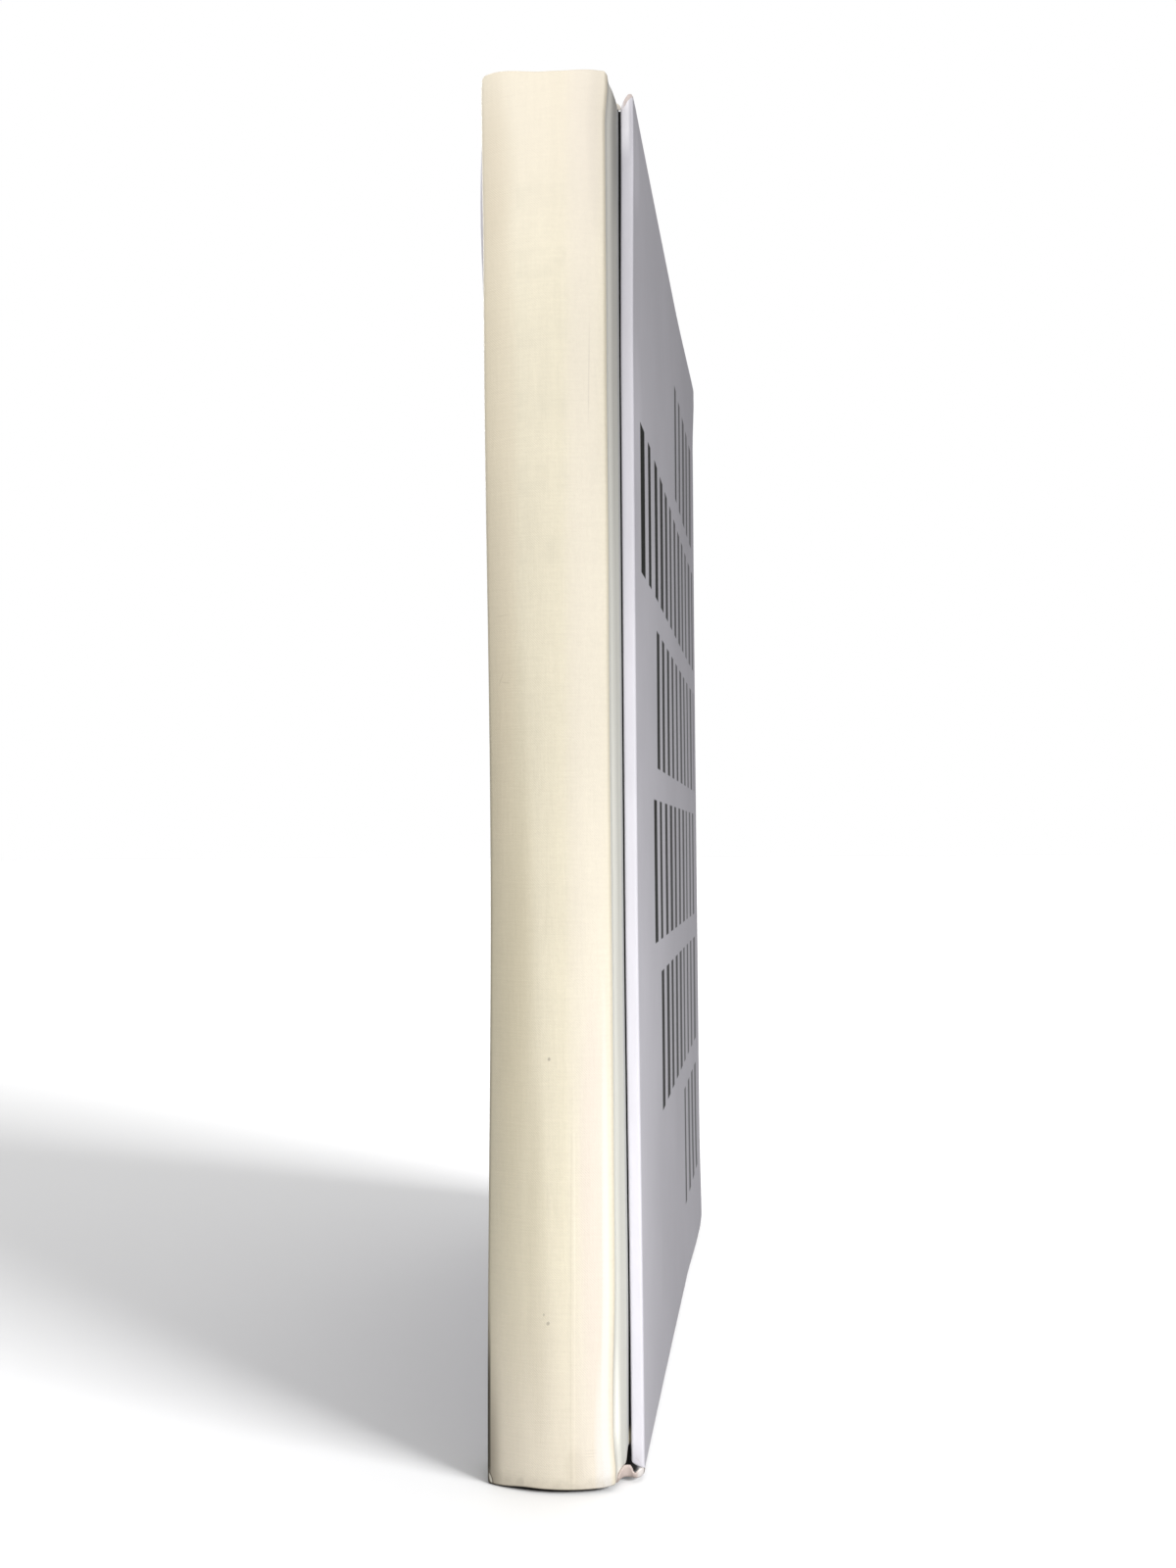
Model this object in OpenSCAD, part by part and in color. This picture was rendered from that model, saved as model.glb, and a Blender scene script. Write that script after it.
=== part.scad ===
// A case-bound hardback book, closed and standing on its tail.
// +Z runs from tail to head, +Y from the spine to the fore edge, +X out of the front cover.
// The origin is under the middle of the book, on the surface it stands on.

/* [Text block] */
// Height of a page, tail to head
page_h = 234; // [180:1:300]
// Width of a page, spine to fore edge
page_w = 155; // [110:1:220]
// Thickness of all the pages together
pages_t = 21.6; // [16:0.2:34]
// Depth of the hollow along the fore edge
fore_hollow = 2.4; // [1:0.1:3.5]
// Thickness of an endpaper leaf
paper_t = 0.15; // [0.1:0.01:0.18]

/* [Covers] */
// Thickness of a cover board
board_t = 1.75; // [1.25:0.25:3]
// Overhang of the covers past the pages
square = 3; // [2.5:0.1:5]
// Corner radius of the covered boards
corner_r = 1.2; // [0.8:0.1:3]
// Thickness of the covering sheet
cloth_t = 0.28; // [0.24:0.01:0.34]
// Width of covering turned in over an edge
turn_in = 15; // [10:1:20]

/* [Spine] */
// Rise of the spine's round above its shoulders
spine_round = 2.5; // [2:0.1:3.2]
// Radius of the spine's shoulders
shoulder_r = 1; // [0.9:0.05:1.3]
// Step from the boards' inner faces in to the shoulders
shoulder_in = 0.45; // [0.1:0.05:1]
// How far the loose spine has slipped towards the back cover
spine_shift = 1.55; // [0.8:0.05:1.7]
// Thickness of the card strip inside the spine
strip_t = 0.5; // [0.3:0.05:0.7]
// Step from the shoulders in to the edges of the card strip
strip_in = 1.1; // [0.9:0.05:2]
// Thickness of the paper lining on the block's spine
lining_t = 0.25; // [0.15:0.05:0.4]
// Height of the lining short of the pages, at each end
lining_short = 8; // [4:1:15]
// Thickness of the gauze under the lining
mull_t = 0.2; // [0.15:0.01:0.25]
// Height of the gauze short of the pages, at each end
mull_short = 12; // [9:1:20]
// Thickness of a glue line on the block's spine
glue_t = 0.03; // [0.02:0.01:0.05]
// Radius of the head and tail bands' bead
band_r = 0.8; // [0.6:0.05:1]

/* [Joints] */
// Depth of a joint, from the spine's shoulder to the board
joint_w = 6.3; // [5.8:0.1:8]
// Distance of the hinge line behind the shoulder
hinge_in = 2.3; // [2:0.05:2.4]
// Width of the slit between the joint and the board
slit_w = 0.35; // [0.3:0.01:0.5]
// Depth of that slit behind the board's edge
slit_d = 1.2; // [0.8:0.1:2]
// Dip of the joint's edge at head and tail
dip = 2.4; // [1:0.1:3]

/* [Clearances] */
// Between a closed cover and the block
close_gap = 0.1; // [0.08:0.01:0.2]
// Between the joint's cloth and the block's shoulder
wall_gap = 0.1; // [0.08:0.01:0.2]
// Between the spine's strip and the lining, in the hollow back
hollow_gap = 0.3; // [0.2:0.05:0.5]
// Between the two edges of the sheet at the hinge line
edge_gap = 0.1; // [0.08:0.01:0.2]

/* [Hidden] */
$fn = 96;

// Overlap of a cutting tool past the face that it cuts
cut = 0.5;

// Half thicknesses, outwards from the middle of the block
page_x = pages_t / 2;
fly_x = page_x + paper_t;
paste_x = fly_x + close_gap;
inner_x = paste_x + paper_t;
board_x = inner_x + cloth_t;
outer_x = board_x + board_t + cloth_t;

// The spine's round: its half width, its radius and the middle of its circle
spine_x = inner_x - shoulder_in;
spine_r = (spine_x * spine_x + spine_round * spine_round) / (2 * spine_round);

// Insets from the case's outer face, on the round and on the joint walls
fold_in = 2 * cloth_t + strip_t;
lining_inset = fold_in + hollow_gap;
mull_inset = lining_inset + lining_t + glue_t;
block_inset = mull_inset + mull_t + glue_t;
mull_wall = 2 * cloth_t + wall_gap;
block_wall = mull_wall + mull_t + glue_t;

// Depths, back from the spine's outermost line
edge_y = spine_round + joint_w;
hinge_y = spine_round + hinge_in;
slit_y = edge_y + slit_d;
lip_y = slit_y + cloth_t;
neck_y = slit_y + 2 * cloth_t + wall_gap;
side_y = neck_y + page_x - (inner_x - slit_w - block_wall) + cut;
page_y = block_inset + page_w + fore_hollow;
depth = page_y + square;

// Heights
height = page_h + 2 * square;
page_top = height - square;

// The outer face of a joint's wall, for a spine slipped away from that cover by shift
neck_x = inner_x - slit_w;
function wall_tan(shift) = (neck_x - spine_x + shift) / joint_w;
function wall_deg(shift) = atan(wall_tan(shift));
function wall_x(shift, y, inset) =
    spine_x - shift + (y - spine_round) * wall_tan(shift) - inset / cos(wall_deg(shift));
function neck_corner(shift, inset) = [neck_x - inset, edge_y + inset * tan(wall_deg(shift) / 2)];

// The centre of a shoulder's rounding, which touches the round and the wall
function wall_out(shift) = [cos(wall_deg(shift)), -sin(wall_deg(shift))];
function wall_run(shift) = [sin(wall_deg(shift)), cos(wall_deg(shift))];
function round_centre(shift) = [-shift, spine_r];
function shoulder_start(shift) =
    [spine_x - shift, spine_round] - shoulder_r * wall_out(shift) - round_centre(shift);
function along(shift) = shoulder_start(shift) * wall_run(shift);
function reach(shift) =
    shoulder_start(shift) * shoulder_start(shift) - pow(spine_r - shoulder_r, 2);
function shoulder_centre(shift) =
    round_centre(shift) + shoulder_start(shift)
    + (-along(shift) - sqrt(pow(along(shift), 2) - reach(shift))) * wall_run(shift);

// Puts a shape drawn from the spine's outermost line into the book's frame
module in_frame() {
    translate([0, -depth / 2, 0]) children();
}

// A flat plate between two x planes, with its four corners rounded
module plate(x0, x1, y0, y1, z0, z1, r) {
    translate([x0, 0, 0]) rotate([90, 0, 90]) linear_extrude(x1 - x0) {
        translate([y0 + r, z0]) square([y1 - y0 - 2 * r, z1 - z0]);
        translate([y0, z0 + r]) square([y1 - y0, z1 - z0 - 2 * r]);
        for (y = [y0 + r, y1 - r], z = [z0 + r, z1 - r]) translate([y, z]) circle(r);
    }
}

// A plain box between two corners
module slab(low, high) {
    translate(low) cube(high - low);
}

// The outline of one joint's wall, in order from the spine to past the neck
function wall_line(shift, inset) = [
    [wall_x(shift, -cut, inset), -cut],
    neck_corner(shift, inset),
    [neck_x - inset, neck_y + cut],
];
function mirrored(points) = [for (i = [len(points) - 1:-1:0]) [-points[i][0], points[i][1]]];

// A cutter that rounds one shoulder of the section
module shoulder_cut(shift, r) {
    centre = shoulder_centre(shift);
    to_round = (centre - round_centre(shift)) / norm(centre - round_centre(shift));
    to_wall = wall_out(shift);
    big = 3 * shoulder_r;
    difference() {
        polygon([
            centre,
            centre + big * to_round,
            centre + big * (to_round + to_wall),
            centre + big * to_wall,
        ]);
        translate(centre) circle(r);
    }
}

// The case's section within the given insets, from the round back to one depth
module section(round_inset, wall_inset, to_y) {
    r = shoulder_r - max(round_inset, wall_inset);
    difference() {
        intersection() {
            translate(round_centre(spine_shift)) circle(spine_r - round_inset);
            polygon(concat(
                wall_line(spine_shift, wall_inset),
                mirrored(wall_line(-spine_shift, wall_inset))
            ));
            translate([-outer_x, -cut]) square([2 * outer_x, to_y + cut]);
        }
        if (r > 0.1) {
            shoulder_cut(spine_shift, r);
            mirror([1, 0]) shoulder_cut(-spine_shift, r);
        }
    }
}

// A band of the spine's round, between two insets and within a half width
module round_band(from_inset, to_inset, half_w) {
    intersection() {
        translate([-spine_shift, spine_r]) difference() {
            circle(spine_r - from_inset);
            circle(spine_r - to_inset);
        }
        translate([-spine_shift - half_w, 0]) square([2 * half_w, edge_y]);
    }
}

// A cutter for the dip in a joint's edge at head and tail, out to one side
module joint_dips() {
    for (side = [0, 1]) translate([0, 0, side * height]) mirror([0, 0, side])
        rotate([90, 0, 90]) linear_extrude(2 * outer_x, center = true) polygon([
            [spine_round + shoulder_r, -cut],
            [spine_round + shoulder_r, 0],
            [edge_y, dip],
            [slit_y + cloth_t + cut, dip],
            [slit_y + cloth_t + cut, -cut],
        ]);
}

// All the pages: round spine, shoulders, and a hollow fore edge
module text_block() {
    fore_r = (page_x * page_x + fore_hollow * fore_hollow) / (2 * fore_hollow);
    neck = neck_x - block_wall;
    color("ivory") in_frame() translate([0, 0, square]) linear_extrude(page_h) difference() {
        union() {
            section(block_inset, block_wall, neck_y);
            polygon([
                [neck, neck_y], [page_x, side_y], [page_x, page_y],
                [-page_x, page_y], [-page_x, side_y], [-neck, neck_y],
            ]);
        }
        translate([0, page_y - fore_hollow + fore_r]) circle(fore_r);
    }
}

// Gauze glued over the block's spine and shoulders
module mull() {
    color("linen") in_frame() translate([0, 0, square + mull_short])
        linear_extrude(page_h - 2 * mull_short) difference() {
            section(mull_inset, mull_wall, edge_y);
            section(mull_inset + mull_t, mull_wall + mull_t, edge_y + cut);
        }
}

// Paper lining over the gauze
module spine_lining() {
    color("tan") in_frame() translate([0, 0, square + lining_short])
        linear_extrude(page_h - 2 * lining_short)
            round_band(lining_inset, lining_inset + lining_t, spine_x - strip_in - strip_t);
}

// A bead along the round of the block's spine, standing on the pages' edge
module band() {
    bead_y = spine_r - block_inset - band_r;
    half_a = asin((spine_x - strip_in - strip_t) / (spine_r - block_inset));
    translate([-spine_shift, spine_r, 0]) rotate([0, 0, -90 - half_a])
        rotate_extrude(angle = 2 * half_a) {
            translate([bead_y, band_r]) circle(band_r);
            translate([bead_y - band_r, 0]) square([2 * band_r, band_r]);
        }
}

module headband() {
    color("whitesmoke") in_frame() translate([0, 0, page_top]) band();
}

module tailband() {
    color("whitesmoke") in_frame() translate([0, 0, square]) mirror([0, 0, 1]) band();
}

// The endpaper's leaf that lies on the block
module flyleaf() {
    in_frame() slab([page_x, side_y, square], [fly_x, page_y, page_top]);
}

module front_flyleaf() {
    color("floralwhite") flyleaf();
}

module back_flyleaf() {
    color("floralwhite") mirror([1, 0, 0]) flyleaf();
}

// The card strip that holds the spine's round
module strip_profile(grow) {
    round_band(cloth_t, cloth_t + strip_t + grow, spine_x - strip_in + grow);
}

module spine_strip() {
    color("burlywood") in_frame() translate([0, 0, cloth_t])
        linear_extrude(height - 2 * cloth_t) strip_profile(0);
}

// The covering sheet's middle, from one hinge line round the spine to the other
module spine_cloth() {
    stop_y = hinge_y - edge_gap / 2;
    color("oldlace") in_frame() difference() {
        union() {
            linear_extrude(height) difference() {
                section(0, 0, stop_y);
                section(cloth_t, cloth_t, stop_y + cut);
            }
            for (z = [0, height - turn_in]) translate([0, 0, z]) linear_extrude(turn_in) {
                difference() {
                    section(0, 0, stop_y);
                    section(2 * cloth_t, 2 * cloth_t, stop_y + cut);
                }
                strip_profile(cloth_t);
            }
        }
        translate([0, 0, cloth_t]) linear_extrude(height - 2 * cloth_t) strip_profile(0);
        joint_dips();
    }
}

// A cover board
module board() {
    in_frame() plate(
        board_x, board_x + board_t, edge_y + cloth_t, depth - cloth_t,
        cloth_t, height - cloth_t, corner_r - cloth_t
    );
}

module front_board() {
    color("darkgray") board();
}

module back_board() {
    color("darkgray") mirror([1, 0, 0]) board();
}

// The strip of the covering between the hinge line and a board, within the joint
module joint_strip(shift, from_inset, to_inset) {
    start_y = hinge_y + edge_gap / 2;
    polygon([
        [wall_x(shift, start_y, from_inset), start_y],
        neck_corner(shift, from_inset),
        [neck_x - from_inset, slit_y + from_inset],
        [inner_x, slit_y + from_inset],
        [inner_x, slit_y + to_inset],
        [neck_x - to_inset, slit_y + to_inset],
        neck_corner(shift, to_inset),
        [wall_x(shift, start_y, to_inset), start_y],
    ]);
}

// The covering sheet over one cover, with its turned-in edges
module cover_cloth(shift) {
    in_frame() {
        difference() {
            plate(inner_x, outer_x, edge_y, depth, 0, height, corner_r);
            plate(
                board_x, board_x + board_t, edge_y + cloth_t, depth - cloth_t,
                cloth_t, height - cloth_t, corner_r - cloth_t
            );
            slab(
                [inner_x - cut, lip_y, turn_in],
                [board_x + cloth_t / 2, depth - turn_in, height - turn_in]
            );
        }
        difference() {
            union() {
                linear_extrude(height) joint_strip(shift, 0, cloth_t);
                for (z = [0, height - turn_in]) translate([0, 0, z])
                    linear_extrude(turn_in) joint_strip(shift, 0, 2 * cloth_t);
            }
            joint_dips();
        }
    }
}

module front_cloth() {
    color("lavender") cover_cloth(spine_shift);
}

module back_cloth() {
    color("lavender") mirror([1, 0, 0]) cover_cloth(-spine_shift);
}

// The endpaper's leaf that is glued down over the turned-in edges and the board
module pastedown() {
    in_frame() difference() {
        union() {
            slab([paste_x, lip_y, square], [inner_x, depth - square, page_top]);
            slab([paste_x, lip_y, turn_in], [board_x, depth - turn_in, height - turn_in]);
        }
        slab(
            [paste_x - cut, lip_y - cut, turn_in + paper_t],
            [board_x - paper_t, depth - turn_in - paper_t, height - turn_in - paper_t]
        );
    }
}

module front_pastedown() {
    color("floralwhite") pastedown();
}

module back_pastedown() {
    color("floralwhite") mirror([1, 0, 0]) pastedown();
}

text_block();
mull();
spine_lining();
headband();
tailband();
front_flyleaf();
back_flyleaf();
spine_strip();
spine_cloth();
front_board();
front_cloth();
front_pastedown();
back_board();
back_cloth();
back_pastedown();
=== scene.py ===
import math

import bmesh
import bpy
from mathutils import Matrix, Vector


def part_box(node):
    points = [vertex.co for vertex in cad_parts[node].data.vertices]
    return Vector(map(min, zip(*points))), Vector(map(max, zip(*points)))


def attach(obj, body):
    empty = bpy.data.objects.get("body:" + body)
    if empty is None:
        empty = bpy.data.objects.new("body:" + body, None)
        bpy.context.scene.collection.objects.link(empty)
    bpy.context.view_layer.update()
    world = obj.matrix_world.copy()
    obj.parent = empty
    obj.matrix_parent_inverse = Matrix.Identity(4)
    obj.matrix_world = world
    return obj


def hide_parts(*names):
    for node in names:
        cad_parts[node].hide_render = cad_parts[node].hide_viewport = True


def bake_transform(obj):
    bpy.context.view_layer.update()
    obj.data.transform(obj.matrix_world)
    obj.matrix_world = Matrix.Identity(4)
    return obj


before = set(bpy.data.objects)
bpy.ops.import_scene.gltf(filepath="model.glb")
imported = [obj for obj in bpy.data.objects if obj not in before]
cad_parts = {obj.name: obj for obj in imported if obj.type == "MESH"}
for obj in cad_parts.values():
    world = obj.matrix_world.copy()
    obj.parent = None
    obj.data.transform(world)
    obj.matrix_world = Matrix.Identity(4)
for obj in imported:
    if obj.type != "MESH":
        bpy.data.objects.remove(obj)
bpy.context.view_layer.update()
scene = bpy.context.scene
MM = 0.001


def corners(node):
    """A node's lowest and highest corners in millimetres."""
    low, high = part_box(node)
    return low / MM, high / MM


# Sizes of the case, from the frame
_, CLOTH_HIGH = corners("front_cloth")
BOARD_LOW, BOARD_HIGH = corners("front_board")
STRIP_LOW, STRIP_HIGH = corners("spine_strip")
SPINE_LOW, _ = corners("spine_cloth")
HEIGHT = CLOTH_HIGH.z
FORE_Y = CLOTH_HIGH.y
OUTER_X = CLOTH_HIGH.x
SHEET_T = OUTER_X - BOARD_HIGH.x
INNER_X = BOARD_LOW.x - SHEET_T
EDGE_Y = BOARD_LOW.y - SHEET_T
APEX_Y = SPINE_LOW.y
SPINE_X = (STRIP_LOW.x + STRIP_HIGH.x) / 2
STRIP_HALF = (STRIP_HIGH.x - STRIP_LOW.x) / 2

# Sizes of the case that the boxes of its nodes don't give
STRIP_IN = 1.1
STRIP_T = 0.5
SPINE_ROUND = 2.5
SHOULDER_R = 1.0
SLIT_W = 0.37
SLIT_D = 1.2
TURN_IN = 15.0
CORNER_R = 1.2
NEAR_CORNER_R = 0.4
BOARD_EDGE_R = 0.42
FOLD_R = 0.42
# Room between the two layers of a turned-in fold
LAP = 0.03
# How far the spine's sheet runs down the joint's wall, and its lap over the joint's sheet
SEAM_PAST = 0.25
SEAM_LAP = 0.35

SPINE_HALF = STRIP_HALF + STRIP_IN
SPINE_R = (SPINE_HALF ** 2 + SPINE_ROUND ** 2) / (2 * SPINE_ROUND)
SHOULDER_Y = APEX_Y + SPINE_ROUND
ROUND_CENTRE = Vector((SPINE_X, APEX_Y + SPINE_R))
NECK_X = INNER_X - SLIT_W
# The inset at which the rings of a cover's face have closed in on its middle
DEEPEST_INSET = (FORE_Y - EDGE_Y) / 2 - 0.6

# How finely the sheets are divided
SHEET_ROWS = 96
CARD_ROWS = 60
SHOULDER_STEPS = 9
ROUND_STEPS = 56
JOINT_STEPS = 26
CARD_STEPS = 40
LONG_SIDE_STEPS = 44
SHORT_SIDE_STEPS = 26
CORNER_TURNS = 6
FOLD_TURNS = 5
RIBBON_SIDES = 20
# How far a board outline's points crowd towards its corners and the middles of its sides
CROWDING = 0.28
# Depths at which a board's beaten edge has points of its own
BEATEN_DEPTHS = (12.6, 12.1)
SHARP_DEG = 55


def smooth(low, high, value):
    """0 below low, 1 above high, and a smooth step between."""
    t = min(1.0, max(0.0, (value - low) / (high - low)))
    return t * t * (3 - 2 * t)


def bump_at(value, centre, spread):
    """A bell curve with height 1."""
    return math.exp(-((value - centre) / spread) ** 2)


# The case's section, where side is 1 at the front cover and -1 at the back cover


def shoulder(side):
    """The sharp corner between the spine's round and the joint's wall."""
    return Vector((SPINE_X + side * SPINE_HALF, SHOULDER_Y))


def neck(side):
    """Where the joint's wall reaches the slit beside the board."""
    return Vector((side * NECK_X, EDGE_Y))


def wall_run(side):
    """The direction of the joint's wall, from the shoulder to the neck."""
    return (neck(side) - shoulder(side)).normalized()


def wall_out(side):
    """The direction out of the joint's wall."""
    run = wall_run(side)
    return Vector((side * run.y, -side * run.x))


def fillet_centre(side):
    """The middle of the shoulder's rounding, which touches the round and the wall."""
    start = shoulder(side) - SHOULDER_R * wall_out(side) - ROUND_CENTRE
    run = wall_run(side)
    along = start.dot(run)
    reach = start.dot(start) - (SPINE_R - SHOULDER_R) ** 2
    return ROUND_CENTRE + start + (-along - math.sqrt(along * along - reach)) * run


def seam_run(side):
    """How far along its wall the spine's sheet reaches, a little past the shoulder's rounding."""
    return (fillet_centre(side) - shoulder(side)).dot(wall_run(side)) + SEAM_PAST


def arc_stops(centre, radius, start, stop, steps):
    """(point, outward) at even steps along an arc, with both of its ends."""
    made = []
    for i in range(steps + 1):
        angle = start + (stop - start) * i / steps
        way = Vector((math.cos(angle), math.sin(angle)))
        made.append((centre + radius * way, way))
    return made


def round_profile():
    """(point, outward) along the spine's outer face, from the front seam to the back one."""
    turns = {}
    for side in (1, -1):
        centre = fillet_centre(side)
        out = wall_out(side)
        tip = (centre - ROUND_CENTRE).normalized()
        a, b = math.atan2(out.y, out.x), math.atan2(tip.y, tip.x)
        b += 2 * math.pi * round((a - b) / (2 * math.pi))
        arc = arc_stops(centre, SHOULDER_R, a, b, SHOULDER_STEPS)
        wall = [(shoulder(side) + seam_run(side) * wall_run(side), out)]
        turns[side] = (wall + arc, math.atan2(tip.y, tip.x))
    front, start = turns[1]
    back, stop = turns[-1]
    middle = arc_stops(ROUND_CENTRE, SPINE_R, start, stop, ROUND_STEPS)
    return front + middle[1:-1] + back[::-1]


def wall_wave(share):
    """How far a joint's wall stands off its straight line: a groove at the hinge, then a swell."""
    return -0.3 * bump_at(share, 0.34, 0.15) + 0.12 * bump_at(share, 0.76, 0.14)


def joint_profile(side):
    """(point, outward, share) from under the spine's seam to the board's inner face.
    The share is 0 at the shoulder and 1 at the neck of the slit."""
    start, end = shoulder(side), neck(side)
    length = (end - start).length
    first = (seam_run(side) - SEAM_LAP) / length
    points, shares = [], []
    for i in range(JOINT_STEPS + 1):
        share = first + (1 - first) * i / JOINT_STEPS
        off = wall_wave(share) - 0.04 * (1 - smooth(first, first + 0.06, share))
        points.append(start.lerp(end, share) + off * wall_out(side))
        shares.append(share)
    for back in (0.3, 0.7, SLIT_D - 0.12):
        points.append(end + Vector((0, back)))
        shares.append(1.0)
    for out, back in ((0.03, SLIT_D - 0.03), (0.12, SLIT_D), (SLIT_W - 0.02, SLIT_D)):
        points.append(end + Vector((side * out, back)))
        shares.append(1.0)
    made = []
    for i, (point, share) in enumerate(zip(points, shares)):
        run = (points[min(i + 1, len(points) - 1)] - points[max(i - 1, 0)]).normalized()
        made.append((point, Vector((side * run.y, -side * run.x)), share))
    return made


# How wear and handling have moved the case from its true shape

# (height, shift) of the spine's left side
LEFT_SHIFTS = ((5, -0.22), (100, 0.56), (205, -0.4), (240, -0.7))


def eased(knots, value):
    """A smooth curve through (place, amount) knots."""
    made = knots[0][1]
    for (low, _), (high, amount) in zip(knots, knots[1:]):
        made += (amount - made) * smooth(low, high, value)
    return made


def caved(z):
    """How far the front joint's neck and the board's edge beside it stand in at mid height."""
    return 0.36 * smooth(5, 100, z) * (1 - smooth(190, 235, z))


def closed(x, z):
    """How far the front joint's neck stands out towards the board, which narrows the slit."""
    at_neck = smooth(9.8, NECK_X, x) * (1 - smooth(NECK_X, INNER_X, x))
    return 0.19 * at_neck * smooth(4, 34, z) * (1 - smooth(192, 226, z))


def slump(x, y, z):
    """The sideways shift of the spine's two sides and of the front joint."""
    free = 1 - smooth(SHOULDER_Y + 0.5, EDGE_Y, y)
    left = smooth(2.0, 12.0, -x) * free
    right = smooth(3.0, 9.0, x) * free
    lean = 0.2 * bump_at(z, 130, 42) + 0.22 * smooth(150, 190, z) - 0.5 * smooth(232, 239, z)
    lean += 0.38 * smooth(2, 8, z) * (1 - smooth(14, 34, z))
    neck_in = smooth(5.0, 8.0, x) * (1 - free) * caved(z)
    return left * eased(LEFT_SHIFTS, z) - right * lean - neck_in + (1 - free) * closed(x, z)


def head_of_round(x):
    """The height of the spine's head, which stands up towards its two corners."""
    ears = 1.5 * smooth(-1.0, -10.5, x) + 0.45 * smooth(1.5, 7.5, x)
    corner = 0.9 * smooth(-11.3, -12.35, x) + 0.3 * smooth(8.9, 9.35, x)
    return HEIGHT + 0.5 + ears - corner


def foot_of_round(x):
    """The height of the spine's foot."""
    return 0.05 + 0.3 * smooth(7.6, 9.3, x) - 0.6 * smooth(-5.0, -11.5, x)


def head_of_joint(share):
    """The height of a joint's head, which dips towards the slit."""
    return HEIGHT + 0.9 - 0.7 * smooth(0.0, 0.25, share) - 2.3 * smooth(0.25, 0.95, share)


def foot_of_joint(share):
    """The height of a joint's foot, which rises towards the slit."""
    rise = 0.6 * smooth(0.0, 0.2, share) + 0.7 * smooth(0.25, 0.5, share) + 0.5 * smooth(0.5, 0.75, share)
    return rise + 2.3 * smooth(0.72, 1.0, share)


def flare(side, y, z):
    """How far a cover bows out at its spine-side head corner or its fore-edge foot corner."""
    if side < 0:
        return (1 - smooth(EDGE_Y, EDGE_Y + 45, y)) * bump_at(z, 222, 20)
    far = smooth(28, 62, y) * (1 - 0.35 * smooth(70, FORE_Y, y))
    high = smooth(20, FORE_Y, y) * (0.16 * bump_at(z, 216, 26) + 0.5 * smooth(222, 237, z))
    return 0.6 * far * bump_at(z, 0, 16) + 0.1 * smooth(FORE_Y - 26, FORE_Y, y) + high


# Meshes


def fold_ring(foot, head, total):
    """(depth, height) once round the section of a sheet that is turned in at foot and head,
    where total is the thickness of its folds."""
    inner = total - SHEET_T
    r = min(FOLD_R, total / 2)
    rise = (head - foot - 2 * r) / SHEET_ROWS
    ring = [(0.0, foot + r + rise * i) for i in range(SHEET_ROWS + 1)]
    quarter = [math.pi / 2 * i / FOLD_TURNS for i in range(1, FOLD_TURNS + 1)]
    ring += [(r - r * math.cos(a), head - r + r * math.sin(a)) for a in quarter]
    ring += [(total - r + r * math.sin(a), head - r + r * math.cos(a)) for a in quarter]
    ring += [(total, head - TURN_IN / 2), (total, head - TURN_IN), (inner, head - TURN_IN)]
    ring += [(inner, head - SHEET_T), (SHEET_T, head - SHEET_T)]
    low, high = foot + SHEET_T, head - SHEET_T
    ring += [(SHEET_T, high - (high - low) * i / SHEET_ROWS) for i in range(1, SHEET_ROWS)]
    ring += [(SHEET_T, low), (inner, low), (inner, foot + TURN_IN), (total, foot + TURN_IN)]
    ring += [(total, foot + TURN_IN / 2)]
    ring += [(total - r + r * math.cos(a), foot + r - r * math.sin(a)) for a in [0.0] + quarter]
    ring += [(r - r * math.sin(a), foot + r - r * math.cos(a)) for a in [0.0] + quarter[:-1]]
    return ring


def link_rings(rings):
    """The vertices and faces of a closed tube through rings of equally many points."""
    count = len(rings[0])
    points = [p for ring in rings for p in ring]
    faces = []
    for i in range(len(rings) - 1):
        for j in range(count):
            k = (j + 1) % count
            faces.append((i * count + j, i * count + k, (i + 1) * count + k, (i + 1) * count + j))
    faces += [tuple(range(count)), tuple(range(len(points) - count, len(points)))]
    return points, faces


def new_object(name, data):
    """An object in the scene, made from its data."""
    made = bpy.data.objects.new(name, data)
    scene.collection.objects.link(made)
    return made


def make_piece(name, points, faces, uv):
    """A smooth-shaded object from points in millimetres, with each point's place on the flat sheet."""
    mesh = bpy.data.meshes.new(name)
    mesh.from_pydata([Vector(p) * MM for p in points], [], faces)
    shaped = bmesh.new()
    shaped.from_mesh(mesh)
    layer = shaped.loops.layers.uv.new("sheet")
    for face in shaped.faces:
        face.smooth = True
        for loop in face.loops:
            loop[layer].uv = uv[loop.vert.index]
    bmesh.ops.recalc_face_normals(shaped, faces=shaped.faces)
    shaped.to_mesh(mesh)
    shaped.free()
    mesh.set_sharp_from_angle(angle=math.radians(SHARP_DEG))
    return new_object(name, mesh)


def run_lengths(points):
    """The distance along a profile to each of its points."""
    made = [0.0]
    for a, b in zip(points, points[1:]):
        made.append(made[-1] + (b - a).length)
    return made


SPINE_SHEET_HALF = run_lengths([point for point, _ in round_profile()])[-1] / 2


def swept_sheet(stops, along):
    """The points, faces and flat places of a sheet through stops of (point, outward, section),
    where a section holds (depth, height) once round and along holds each stop's flat place."""
    rings, uv = [], []
    for (point, out, section), run in zip(stops, along):
        ring = []
        for depth, z in section:
            at = point - depth * out
            ring.append((at.x + slump(point.x, point.y, z), at.y, z))
            uv.append((run, z))
        rings.append(ring)
    return *link_rings(rings), uv


def spine_total(x):
    """The thickness of the spine's head and tail folds: two sheets, with the card strip between."""
    over_strip = 1 - smooth(STRIP_HALF - 0.2, STRIP_HALF + 0.7, abs(x - SPINE_X))
    return 2 * SHEET_T + LAP + STRIP_T * over_strip


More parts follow.
